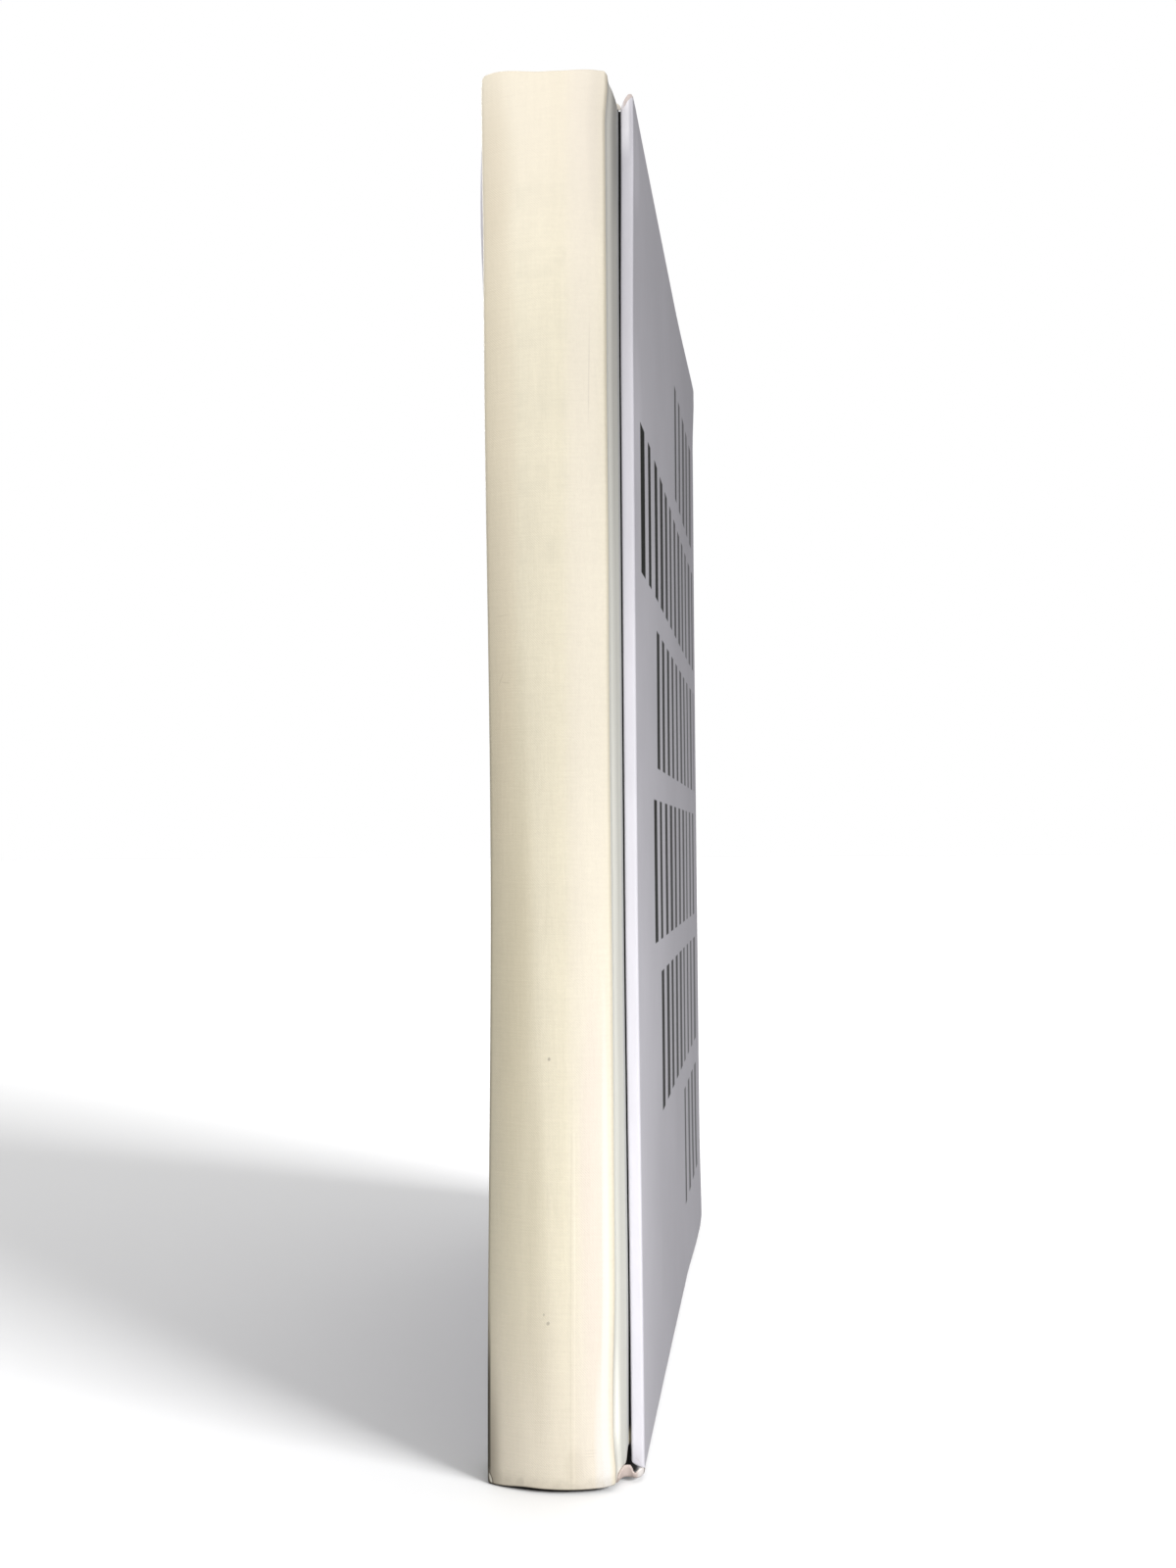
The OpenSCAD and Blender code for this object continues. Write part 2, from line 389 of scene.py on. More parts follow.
def spine_skin():
    """The sheet over the spine, turned in at head and foot."""
    stops = [
        (point, out, fold_ring(foot_of_round(point.x), head_of_round(point.x), spine_total(point.x)))
        for point, out in round_profile()
    ]
    along = [run - SPINE_SHEET_HALF for run in run_lengths([point for point, _, _ in stops])]
    return make_piece("spine_skin", *swept_sheet(stops, along))


# Where the small folds' own stretch of the joint's flat sheet starts
FOLD_START = 20.0
# The turned-in fold that bridges the front joint at the foot: (x, y, height of its top)
FOOT_FOLD = (
    (9.4, -77.1, 1.0), (9.8, -75.8, 1.7), (10.3, -75.0, 2.1), (10.9, -74.8, 2.1), (11.4, -74.85, 2.1),
    (11.65, -74.9, 1.8), (11.85, -74.95, 1.2), (12.2, -75.0, 0.9), (12.55, -74.95, 1.3), (12.9, -74.7, 1.6),
    (13.2, -74.25, 1.55), (13.35, -73.6, 1.1), (13.3, -72.9, 0.8), (13.0, -72.45, 0.6),
)
# And the smaller one at the head: (x, y, height of its top)
HEAD_FOLD = (
    (10.2, -73.0, 237.9), (10.5, -72.85, 238.3), (10.8, -72.75, 238.2), (11.05, -72.65, 238.0),
    (11.2, -72.5, 237.8),
)
# (path, height of its foot, thickness) of both
SMALL_FOLDS = ((FOOT_FOLD, 0.05, 0.6), (HEAD_FOLD, 237.2, 0.3))


def fold_ribbon(path, foot, thick):
    """The points, faces and flat places of a rounded band that runs along a path."""
    rings, uv = [], []
    run = FOLD_START
    for i, (x, y, top) in enumerate(path):
        a, b = path[max(i - 1, 0)], path[min(i + 1, len(path) - 1)]
        along = Vector((b[0] - a[0], b[1] - a[1])).normalized()
        out = Vector((along.y, -along.x))
        if i:
            run += math.dist(path[i - 1][:2], (x, y))
        middle, half = (foot + top) / 2, (top - foot) / 2
        ring = []
        for k in range(RIBBON_SIDES):
            angle = 2 * math.pi * k / RIBBON_SIDES
            reach = 0.5 * thick * math.copysign(abs(math.cos(angle)) ** 0.6, math.cos(angle))
            rise = half * math.copysign(abs(math.sin(angle)) ** 0.75, math.sin(angle))
            at = Vector((x, y)) + out * (reach + 0.25 * thick * math.sin(angle))
            ring.append((at.x, at.y, middle + rise))
            uv.append((run, middle + rise))
        rings.append(ring)
    return *link_rings(rings), uv


def joint_skin(side, name):
    """The sheet in a joint, turned in at head and foot, with the front joint's small folds."""
    stops = [
        (point, out, fold_ring(foot_of_joint(share), head_of_joint(share), 2 * SHEET_T + LAP))
        for point, out, share in joint_profile(side)
    ]
    points, faces, uv = swept_sheet(stops, run_lengths([point for point, _, _ in stops]))
    if side > 0:
        for fold in SMALL_FOLDS:
            more_points, more_faces, more_uv = fold_ribbon(*fold)
            faces += [tuple(i + len(points) for i in face) for face in more_faces]
            points += more_points
            uv += more_uv
    return make_piece(name, points, faces, uv)


def outline(insets, radii):
    """Points once round a board's outline in y and z, with the spine side, the fore edge and
    the two ends brought in by their insets, and its corners rounded at the fore edge and spine."""
    spine_in, fore_in, end_in = insets
    far_r, near_r = radii
    y0, y1 = EDGE_Y + spine_in, FORE_Y - fore_in
    z0, z1 = end_in, HEIGHT - end_in
    made = []
    for radius, (y, z), first, (to_y, to_z), steps in (
        (far_r, (y1 - far_r, z0 + far_r), -90, (y1, z1 - far_r), LONG_SIDE_STEPS),
        (far_r, (y1 - far_r, z1 - far_r), 0, (y0 + near_r, z1), SHORT_SIDE_STEPS),
        (near_r, (y0 + near_r, z1 - near_r), 90, (y0, z0 + near_r), LONG_SIDE_STEPS),
        (near_r, (y0 + near_r, z0 + near_r), 180, (y1 - far_r, z0), SHORT_SIDE_STEPS),
    ):
        for i in range(CORNER_TURNS + 1):
            angle = math.radians(first + 90 * i / CORNER_TURNS)
            made.append((y + radius * math.cos(angle), z + radius * math.sin(angle)))
        from_y, from_z = made[-1]
        for i in range(1, steps):
            t = i / steps
            t -= CROWDING * math.sin(4 * math.pi * t) / (4 * math.pi)
            made.append((from_y + (to_y - from_y) * t, from_z + (to_z - from_z) * t))
    return made


def cover_section():
    """(x, inset, spine-side inset, unfolded inset) from the middle of the outer face, round the
    board's edge to the turn-in, and back along the sheet's inner side."""
    spread = [DEEPEST_INSET, 66, 56, 46, 36, 27, 19, 12, 7, 4, 2.4, 1.5, 1.0, 0.6]
    r = BOARD_EDGE_R
    quarter = [math.pi / 2 * i / FOLD_TURNS for i in range(FOLD_TURNS + 1)]
    made = [(OUTER_X, d, d, d) for d in spread]
    made += [(OUTER_X - r + r * math.cos(a), r - r * math.sin(a), None, r - r * a) for a in quarter]
    past = r - r * math.pi / 2
    side = OUTER_X - INNER_X - 2 * r
    made += [(OUTER_X - r - side * t, 0.0, None, past - side * t) for t in (0.33, 0.67)]
    past -= side
    made += [(INNER_X + r - r * math.sin(a), r - r * math.cos(a), None, past - r * a) for a in quarter]
    past -= r * math.pi / 2
    lip = SLIT_D + SHEET_T
    made += [(INNER_X, d, min(d, lip - 0.05), past - d) for d in (0.8, 1.3, 4, 9, TURN_IN)]
    inner = INNER_X + SHEET_T
    made += [(inner, d, min(d, lip - 0.05), past - d) for d in (TURN_IN, 4, 1.3, 0.8)]
    made += [(inner, SHEET_T, SHEET_T, past), (OUTER_X - SHEET_T, SHEET_T, SHEET_T, 0.0)]
    made += [(OUTER_X - SHEET_T, d, d, d) for d in reversed(spread)]
    return made


def cover_worn(side, x, y, z):
    """A cover's point after wear: a bowed board, and corners beaten round at the joint."""
    at_edge = 1 - smooth(EDGE_Y + 0.6, EDGE_Y + 5.0, y)
    top = smooth(HEIGHT - 4.0, HEIGHT, z)
    bottom = smooth(5.0, 0.0, z)
    beaten = 0.85 * smooth(12.5, 11.9, x) + 1.3 * smooth(12.0, 11.25, x)
    drop = at_edge * top * (beaten + 0.3 * smooth(13.1, 13.5, x)) - 0.3 * smooth(200, HEIGHT, z)
    if side > 0:
        lift = at_edge * bottom * 1.15 * min(1.0, max(0.0, (OUTER_X - x) / 2.2))
        outer = 1 - smooth(EDGE_Y + 1, EDGE_Y + 32, y)
        inner = 1 - smooth(EDGE_Y + 0.3, EDGE_Y + 1.4, y)
        thin = caved(z) * (outer + (inner - outer) * smooth(12.35, INNER_X, x))
    else:
        lift = 0.0
        waist = 0.55 * smooth(15, 60, z) * (1 - smooth(150, 205, z))
        hollow = waist * (1 - smooth(EDGE_Y, EDGE_Y + 45, y))
        thin = hollow * smooth(INNER_X, OUTER_X, x)
        thin += 0.6 * flare(side, y, z) * (1 - smooth(INNER_X, OUTER_X, x))
    wave = 0.05 * math.sin(z / 17.0 + side) * math.sin(y / 23.0)
    return x + flare(side, y, z) + wave - thin, z - drop + lift


def cover_ring(side, x, insets, radii):
    """The worn outline of a cover at a depth x, with its insets and corner radii."""
    ring = []
    for y, z in outline(insets, radii):
        moved, height = cover_worn(side, x, y, z)
        ring.append((side * moved, y, height))
    return ring


def shrunk_radii(inset):
    """The radii of a board's far and near corners, at an inset from its outline."""
    return [max(0.2, radius - inset) for radius in (CORNER_R, NEAR_CORNER_R)]


def cover_skin(side, name):
    """The sheet over a board, turned in all round."""
    rings, uv = [], []
    for x, inset, spine_in, flat in cover_section():
        spine_in = inset if spine_in is None else spine_in
        rings.append(cover_ring(side, x, (spine_in, inset, inset), shrunk_radii(inset)))
        flat_radii = (0.2, 0.2) if flat > 1 else (CORNER_R, NEAR_CORNER_R)
        for y, z in outline((flat + spine_in - inset, flat, flat), flat_radii):
            uv.append((y - EDGE_Y, z))
    return make_piece(name, *link_rings(rings), uv)


def board_core(side, name):
    """The board inside a cover, worn with it."""
    spread = [DEEPEST_INSET, 60, 45, 32, 20, 10, 5, 2.5, 1.2, 0.7]
    edge = SHEET_T + 0.02
    outer, inner = BOARD_HIGH.x - 0.02, BOARD_LOW.x + 0.02
    section = [(outer, d) for d in spread]
    section += [(x, edge) for x in (outer - 0.1, *BEATEN_DEPTHS, inner + 0.1)]
    section += [(inner, d) for d in reversed(spread)]
    rings, uv = [], []
    for x, inset in section:
        ring = cover_ring(side, x, (inset, inset, inset), shrunk_radii(inset))
        rings.append(ring)
        uv += [(y, z) for _, y, z in ring]
    return make_piece(name, *link_rings(rings), uv)


def spine_card():
    """The card strip in the spine, bent with the sheet around it."""
    start, stop = [
        math.atan2(-math.sqrt(SPINE_R ** 2 - STRIP_HALF ** 2), side * STRIP_HALF) for side in (1, -1)
    ]
    low, high = SHEET_T + 0.05, HEIGHT - SHEET_T
    heights = [low + (high - low) * k / CARD_ROWS for k in range(CARD_ROWS + 1)]
    section = [(0.02, z) for z in heights] + [(STRIP_T, z) for z in reversed(heights)]
    arc = arc_stops(ROUND_CENTRE, SPINE_R - SHEET_T, start, stop, CARD_STEPS)
    stops = [(point, out, section) for point, out in arc]
    along = [SPINE_R * (stop - start) * i / CARD_STEPS for i in range(CARD_STEPS + 1)]
    return make_piece("spine_card", *swept_sheet(stops, along))


# Materials

# The covering's weave
WEAVE_PITCH = 0.42
WEAVE_STRENGTH = 0.8
COVER_RELIEF = 0.02
SPINE_RELIEF = 0.026

# The covering's colours, with the painted light and shade of its joint, edge, folds and slit
SPINE_CREAM = (0.855, 0.785, 0.612)
PALE_CREAM = (0.90, 0.81, 0.69)
BLOCK_TONE = (0.62, 0.58, 0.46)
JOINT_GREY = (0.75, 0.742, 0.68)
HIGH_JOINT_SHADE = (0.56, 0.53, 0.50)
NEAR_SLIT_SHADE = (0.36, 0.38, 0.40)
COVER_WHITE = (0.79, 0.773, 0.83)
LIT_WHITE = (0.96, 0.94, 0.985)
SCRATCH_WHITE = (0.9, 0.9, 0.93)
FOLD_PINK = (0.62, 0.52, 0.475)
FOLD_PALE = (0.84, 0.79, 0.76)
FOLD_CREVICE_SHADE = (0.22, 0.18, 0.15)
HEAD_FOLD_CREAM = (0.82, 0.76, 0.66)
SLIT_SHADE_BLACK = (0.012, 0.012, 0.012)
SLIT_SHADE_OLIVE = (0.50, 0.455, 0.33)
PRINT_INK = (0.040, 0.042, 0.038)

# Colours of its dirt and wear, and of the shade painted on its spine
GRIME = (0.30, 0.27, 0.22)
OCHRE = (0.62, 0.555, 0.40)
WORN_BOARD = (0.52, 0.43, 0.40)
SIDE_SHADE_BROWN = (0.50, 0.45, 0.32)
FOOT_SHADE_BROWN = (0.37, 0.325, 0.26)
FOOT_EDGE_SHADE = (0.11, 0.10, 0.075)
SEAM_GREY = (0.35, 0.33, 0.29)
CHIP_CORE = (0.93, 0.89, 0.77)
CHIP_RIM = (0.08, 0.06, 0.04)
END_DIRT_AND_SHADE = (0.55, 0.5, 0.4)
END_SHADE = (0.52, 0.46, 0.36)

# The other pieces' colours
PAGE_CREAM = (0.80, 0.765, 0.68)
GAUZE_WHITE = (0.72, 0.68, 0.58)
THREAD_WHITE = (0.84, 0.82, 0.76)
CARD_TAN = (0.52, 0.42, 0.29)
BOARD_GREY = (0.36, 0.35, 0.33)
ENDPAPER_WHITE = (0.82, 0.80, 0.75)
LINING_BROWN = (0.50, 0.36, 0.22)

# The print on the front cover: rows of plain upright bars, measured from the head and the spine
ROW_PITCH = 34.5
ROW_TOP = 21.5
ROW_HEIGHT = 28.0
ROW_STARTS = (88.0, 10.0, 36.0, 28.0, 40.0, 99.0)
ROW_END = 146.0
ROW_RIM = 0.12
BAR_PITCH = 12.0
BAR_SHARE = 0.34
BAR_SHARE_SPREAD = 0.2
BAR_RIM = 0.012
FIRST_ROW_SEED = 3

# The faint blocks on the spine
BLOCKS_FOOT = 152.0
BLOCK_PITCH = 12.5

# (centre, radii, turn, softness) of small marks on the spine's sheet
SPINE_SCRATCHES = (
    ((7.6, 145.6), (1.3, 0.08), -4.0, 0.8),
    ((8.1, 134.6), (0.14, 1.2), 25.0, 0.8),
    ((7.2, 134.0), (0.8, 0.12), 10.0, 0.8),
    ((-8.2, 187.0), (0.12, 8.0), 1.0, 0.9),
    ((-7.4, 6.4), (1.1, 0.06), 0.0, 0.9),
    ((-7.4, 5.9), (1.1, 0.06), 0.0, 0.9),
    ((-7.2, 5.4), (0.9, 0.06), 0.0, 0.9),
    ((4.6, 0.9), (0.6, 0.7), 20.0, 0.9),
)
SPINE_SPECKS = (
    ((-0.6, 70.4), (0.22, 0.3), 0.0, 0.6),
    ((-0.2, 27.0), (0.26, 0.34), 30.0, 0.8),
    ((0.5, 28.4), (0.15, 0.22), 0.0, 0.8),
)

# (centre, radii, share, tint) of stains, paler places and painted highlights on the spine's sheet
SPINE_STAINS_AND_HIGHLIGHTS = (
    ((1.6, 38.0), (1.7, 27.0), 0.20, OCHRE),
    ((6.6, 98.0), (4.2, 44.0), 0.18, (0.60, 0.50, 0.30)),
    ((-4.6, 4.0), (1.7, 2.6), 0.20, (0.55, 0.48, 0.36)),
    ((-9.6, 230.0), (1.4, 15.0), 0.22, (0.62, 0.56, 0.47)),
    ((8.6, 224.0), (4.0, 12.0), 0.20, (0.66, 0.57, 0.40)),
    ((1.0, 22.0), (2.6, 12.0), 0.12, (0.62, 0.555, 0.45)),
    ((-8.0, 47.0), (2.2, 31.0), 0.42, (0.81, 0.68, 0.60)),
    # Painted highlights: the right side of the spine paler near its foot, where the light falls
    ((-9.95, 16.0), (0.62, 56.0), 0.75, (0.90, 0.88, 0.84)),
    ((-9.4, 2.0), (1.3, 16.0), 0.60, (0.92, 0.90, 0.86)),
    ((8.2, 172.0), (3.4, 62.0), 0.30, (0.785, 0.662, 0.49)),
    ((-7.6, 120.0), (3.6, 160.0), 0.24, (0.87, 0.79, 0.765)),
)

# (centre, radii, gain) of paler places on a cover's outer face, near the spine
COVER_PALE_SPOTS = (
    ((4.0, 230.0), (6.0, 8.0), 0.11),
    ((5.0, 184.0), (7.0, 12.0), 0.08),
)


class Surface:
    """A material whose nodes are added one call at a time."""

    def __init__(self, name, colour, rough, specular=0.5):
        self.material = bpy.data.materials.new(name)
        self.material.use_nodes = True
        self.tree = self.material.node_tree
        self.shader = self.tree.nodes["Principled BSDF"]
        values = {"Base Color": (*colour, 1), "Roughness": rough, "Specular IOR Level": specular}
        self.set(self.shader, values)

    def set(self, node, values):
        for key, value in values.items():
            self.feed(node.inputs[key], value)

    def feed(self, socket, value):
        """Links another node's socket, or sets a plain value."""
        if isinstance(value, bpy.types.NodeSocket):
            self.tree.links.new(value, socket)
        else:
            socket.default_value = value

    def node(self, kind, values=None, **settings):
        made = self.tree.nodes.new("ShaderNode" + kind)
        for key, value in settings.items():
            setattr(made, key, value)
        self.set(made, values or {})
        return made

    def math(self, operation, *values):
        made = self.node("Math", operation=operation)
        for socket, value in zip(made.inputs, values):
            self.feed(socket, value)
        return made.outputs[0]

    def plus(self, first, second):
        return self.math("ADD", first, second)

    def minus(self, first, second):
        return self.math("SUBTRACT", first, second)

    def apart(self, first, second):
        return self.math("ABSOLUTE", self.minus(first, second))

    def product(self, *factors):
        made = factors[0]
        for factor in factors[1:]:
            made = self.math("MULTIPLY", made, factor)
        return made

    def most(self, masks):
        made = masks[0]
        for mask in masks[1:]:
            made = self.math("MAXIMUM", made, mask)
        return made

    def split(self, vector):
        """A vector's x, y and z sockets."""
        return self.node("SeparateXYZ", {"Vector": vector}).outputs

    def sheet(self):
        """The place on the flat sheet, in millimetres, as two sockets."""
        x, y, _ = self.split(self.node("UVMap", uv_map="sheet").outputs[0])
        return x, y

    def place(self):
        """The place in the object, in millimetres, as a vector socket."""
        return self.scaled(self.node("TexCoord").outputs["Object"], 1 / MM)

    def vector(self, x, y, z=0.0):
        return self.node("CombineXYZ", {"X": x, "Y": y, "Z": z}).outputs[0]

    def stretched(self, vector, factors):
        made = self.node("VectorMath", operation="MULTIPLY")
        self.feed(made.inputs[0], vector)
        made.inputs[1].default_value = factors
        return made.outputs[0]

    def noise(self, vector, scale, detail=3.0, rough=0.5):
        values = {"Vector": vector, "Scale": scale, "Detail": detail, "Roughness": rough}
        return self.node("TexNoise", values).outputs["Fac"]

    def ramp(self, value, low, high, to_low=0.0, to_high=1.0):
        """A smooth step from to_low at low to to_high at high."""
        values = {"Value": value, "From Min": low, "From Max": high, "To Min": to_low, "To Max": to_high}
        return self.node("MapRange", values, interpolation_type="SMOOTHSTEP").outputs[0]

    def ripple(self, value, pitch):
        """A row of round crests, one at each pitch."""
        return self.math("ABSOLUTE", self.math("SINE", self.product(value, math.pi / pitch)))

    def blob(self, u, v, centre, radii, turn_deg=0.0, soft=0.9):
        """1 inside an ellipse on the sheet and 0 outside, with a soft rim."""
        c, s = math.cos(math.radians(turn_deg)), math.sin(math.radians(turn_deg))
        du, dv = self.minus(u, centre[0]), self.minus(v, centre[1])
        along = self.plus(self.product(du, c / radii[0]), self.product(dv, s / radii[0]))
        across = self.minus(self.product(dv, c / radii[1]), self.product(du, s / radii[1]))
        far = self.plus(self.product(along, along), self.product(across, across))
        return self.ramp(far, 1 - soft, 1 + soft, 1.0, 0.0)

    def mixed(self, factor, first, second):
        made = self.node("Mix", data_type="RGBA")
        for socket, value in zip((made.inputs[0], made.inputs[6], made.inputs[7]), (factor, first, second)):
            self.feed(socket, value if not isinstance(value, tuple) else (*value[:3], 1))
        return made.outputs[2]

    def tinted(self, colour, tint, *factors):
        """The colour, moved towards a tint by the product of the factors."""
        return self.mixed(self.product(*factors), colour, tint)

    def scaled(self, colour, factor):
        made = self.node("VectorMath", operation="SCALE")
        self.feed(made.inputs[0], colour)
        self.feed(made.inputs["Scale"], factor)
        return made.outputs[0]

    def toned(self, colour, value, low, high):
        """The colour times a factor that goes from low to high with the value."""
        return self.scaled(colour, self.ramp(value, 0.2, 0.8, low, high))

    def paint(self, colour):
        self.feed(self.shader.inputs["Base Color"], colour)

    def relief(self, height, distance, strength=1.0):
        made = self.node("Bump", {"Height": height, "Distance": distance * MM, "Strength": strength})
        self.feed(self.shader.inputs["Normal"], made.outputs[0])


def weave(surface, u, v):
    """The relief of a fine plain weave, with threads of uneven weight."""
    vector = surface.vector(u, v)
    warp = surface.math("SINE", surface.product(u, 2 * math.pi / WEAVE_PITCH))
    weft = surface.math("SINE", surface.product(v, 2 * math.pi / WEAVE_PITCH))
    upright = surface.noise(surface.stretched(vector, (1.0, 0.08, 1.0)), 2.2, 2.0)
    level = surface.noise(surface.stretched(vector, (0.08, 1.0, 1.0)), 2.2, 2.0)
    fibre = surface.noise(vector, 5.0, 4.0, 0.65)
    threads = surface.plus(surface.product(warp, weft, 0.22), surface.plus(upright, level))
    return surface.plus(threads, surface.product(fibre, 0.9))


def deep_shade(surface, v):
    """The painted shade of the slit: near black, turning olive where it opens at the foot."""
    return surface.mixed(surface.ramp(v, 7.4, 5.2), SLIT_SHADE_BLACK, SLIT_SHADE_OLIVE)


def printed_bars(surface, u, v):
    """1 on the bars of the front cover's print and 0 between them."""
    down = surface.minus(HEIGHT, v)
    rows = []
    for i, start in enumerate(ROW_STARTS):
        middle = ROW_TOP + ROW_PITCH * i + ROW_HEIGHT / 2
        off = surface.apart(down, middle)
        in_row = surface.ramp(off, ROW_HEIGHT / 2 - ROW_RIM, ROW_HEIGHT / 2 + ROW_RIM, 1.0, 0.0)
        cell = surface.math("DIVIDE", surface.minus(u, start), BAR_PITCH)
        number = surface.math("FLOOR", cell)
        part = surface.minus(cell, number)
        seed = surface.vector(number, float(i + FIRST_ROW_SEED))
        chance = surface.node("TexWhiteNoise", {"Vector": seed}).outputs["Value"]
        width = surface.plus(surface.product(chance, BAR_SHARE_SPREAD), BAR_SHARE)
        in_bar = surface.ramp(surface.minus(part, width), -BAR_RIM, BAR_RIM, 1.0, 0.0)
        after_start = surface.math("GREATER_THAN", u, start)
        before_end = surface.math("LESS_THAN", u, ROW_END)
        rows.append(surface.product(in_row, in_bar, surface.product(after_start, before_end)))
    return surface.most(rows)


def cover_painted_light_and_tones(surface, u, v, colour):
    """Painted light and shade on a cover's spine-side edge and outer face: the edge paler low down and
    darker high up, the face darker near the spine and paler far out at its foot, and darker far out near
    its head; plus a slightly darker face and paler places near the spine.
    """
    on_edge = surface.ramp(u, 0.2, -0.2)
    edge_painted_light = surface.ramp(v, 125.0, 222.0, 0.07, -0.14)
    # Painted light: the edge paler low down and darker high up
    colour = surface.scaled(colour, surface.math("MULTIPLY_ADD", on_edge, edge_painted_light, 1.0))
    # Painted light and shade on the face, near its foot and far out near its head
    foot_painted_light = surface.product(surface.ramp(u, 10.0, 120.0, -0.05, 0.06), surface.ramp(v, 75.0, 20.0))
    far_painted_shade = surface.product(surface.ramp(u, 50.0, 150.0), surface.ramp(v, 90.0, 200.0, 0.0, -0.09))
    face_tone = surface.plus(surface.plus(foot_painted_light, far_painted_shade), -0.065)
    for centre, radii, gain in COVER_PALE_SPOTS:
        face_tone = surface.math("MULTIPLY_ADD", surface.blob(u, v, centre, radii), gain, face_tone)
    on_face = surface.minus(1.0, on_edge)
    return surface.scaled(colour, surface.math("MULTIPLY_ADD", on_face, face_tone, 1.0))


def cover_edge_wear_and_painted_light(surface, u, v, colour):
    """The painted highlight on the head of the spine-side edge, its rubbed corner, and the painted shade of
    the slit behind it.
    """
    # Painted highlight: the head of the spine-side edge made paler
    colour = surface.tinted(colour, LIT_WHITE, surface.ramp(v, 228.0, 235.0), surface.ramp(u, -0.3, -0.8))
    on_corner = surface.product(surface.ramp(u, 1.2, 0.2), surface.ramp(u, -1.9, -1.3))
    at_top = surface.product(surface.ramp(v, 239.2, 239.5), surface.ramp(v, 241.9, 241.2))
    colour = surface.tinted(colour, FOLD_PINK, at_top, on_corner, 0.8)
    # Painted shade of the slit on the cover's lip
    in_slit = (surface.ramp(u, -2.25, -2.45), surface.ramp(u, -4.4, -3.6))
    return surface.tinted(colour, deep_shade(surface, v), *in_slit)


def cover_cloth(name, printed):
    """The covering on a board, cool white and rubbed along its ends, with painted light and shade on its
    spine-side edge and face.
    """
    surface = Surface(name, COVER_WHITE, 0.66, specular=0.3)
    u, v = surface.sheet()
    vector = surface.vector(u, v)
    colour = surface.toned(COVER_WHITE, surface.noise(vector, 0.035, 3.0), 0.965, 1.03)
    streaks = surface.noise(surface.stretched(vector, (1.0, 0.1, 1.0)), 1.1, 3.0)
    colour = surface.toned(colour, streaks, 0.985, 1.015)
    rim = surface.ramp(surface.apart(v, HEIGHT / 2), HEIGHT / 2 - 1.4, HEIGHT / 2 + 0.2)
    scuffs = surface.ramp(surface.noise(vector, 0.9, 4.0, 0.7), 0.52, 0.66)
    colour = surface.tinted(colour, WORN_BOARD, rim, scuffs, 0.5)
    scratch = surface.blob(u, v, (34.0, 180.0), (0.5, 11.0), 14.0, 0.6)
    colour = surface.tinted(colour, SCRATCH_WHITE, scratch, 0.08)
    if printed:
        rubbed = surface.ramp(surface.noise(vector, 1.6, 5.0, 0.7), 0.30, 0.42, 0.82, 1.0)
        faded = surface.ramp(u, 10, 150, 1.0, 0.62)
        colour = surface.tinted(colour, PRINT_INK, rubbed, faded, printed_bars(surface, u, v))
    colour = cover_painted_light_and_tones(surface, u, v, colour)
    surface.paint(cover_edge_wear_and_painted_light(surface, u, v, colour))
    surface.relief(weave(surface, u, v), COVER_RELIEF, WEAVE_STRENGTH)
    return surface.material


def spine_grain(surface, vector):
    """The spine's cream, with clouds, streaks and threads of slightly other tones."""
    colour = surface.toned(SPINE_CREAM, surface.noise(vector, 0.045, 4.0), 0.975, 1.03)
    streaks = surface.noise(surface.stretched(vector, (1.0, 0.05, 1.0)), 0.6, 4.0)
    colour = surface.toned(colour, streaks, 0.98, 1.02)
    colour = surface.toned(colour, surface.noise(vector, 1.4, 5.0, 0.7), 0.97, 1.03)
    for factors in ((0.12, 1.0, 1.0), (1.0, 0.12, 1.0)):
        thread = surface.noise(surface.stretched(vector, factors), 1.5, 3.0)
        colour = surface.toned(colour, thread, 0.983, 1.017)
    return colour


def spine_blocks(surface, u, v):
    """1 on faint plain blocks, one above another up the spine, and 0 between them."""
    cell = surface.math("DIVIDE", surface.minus(v, BLOCKS_FOOT), BLOCK_PITCH)
    part = surface.math("FRACT", cell)
    block = surface.product(surface.ramp(part, 0.1, 0.2), surface.ramp(part, 0.52, 0.62, 1.0, 0.0))
    wide = surface.ramp(surface.math("ABSOLUTE", u), 4.2, 4.6, 1.0, 0.0)
    zone = surface.product(surface.ramp(v, 150, 154), surface.ramp(v, 225, 229, 1.0, 0.0))
    patchy = surface.ramp(surface.noise(surface.vector(u, v), 0.35, 3.0), 0.35, 0.65)
    return surface.product(block, wide, surface.product(zone, patchy))


def spine_marks(surface, u, v, colour):
    """Scratches and specks on the spine."""
    for marks, share in ((SPINE_SCRATCHES, 0.22), (SPINE_SPECKS, 0.55)):
        mask = surface.most([surface.blob(u, v, *mark) for mark in marks])
        colour = surface.tinted(colour, GRIME, mask, share)
    return colour


def spine_stains(surface, u, v, colour):
    """Stains, paler places, painted shade on the left side and painted highlights on the lower right of the
    spine.
    """
    # Painted shade: a broad darker patch on the left of the spine
    colour = surface.tinted(colour, OCHRE, surface.blob(u, v, (5.2, 62.0), (3.8, 46.0)), 0.32)
    # Painted shade: the left side of the spine darker below its head
    shaded_left_side = (surface.ramp(u, 7.0, 11.2), surface.ramp(v, 205.0, 120.0))
    colour = surface.tinted(colour, SIDE_SHADE_BROWN, *shaded_left_side, 0.30)
    for centre, radii, share, tint in SPINE_STAINS_AND_HIGHLIGHTS:
        colour = surface.tinted(colour, tint, surface.blob(u, v, centre, radii), share)
    return colour


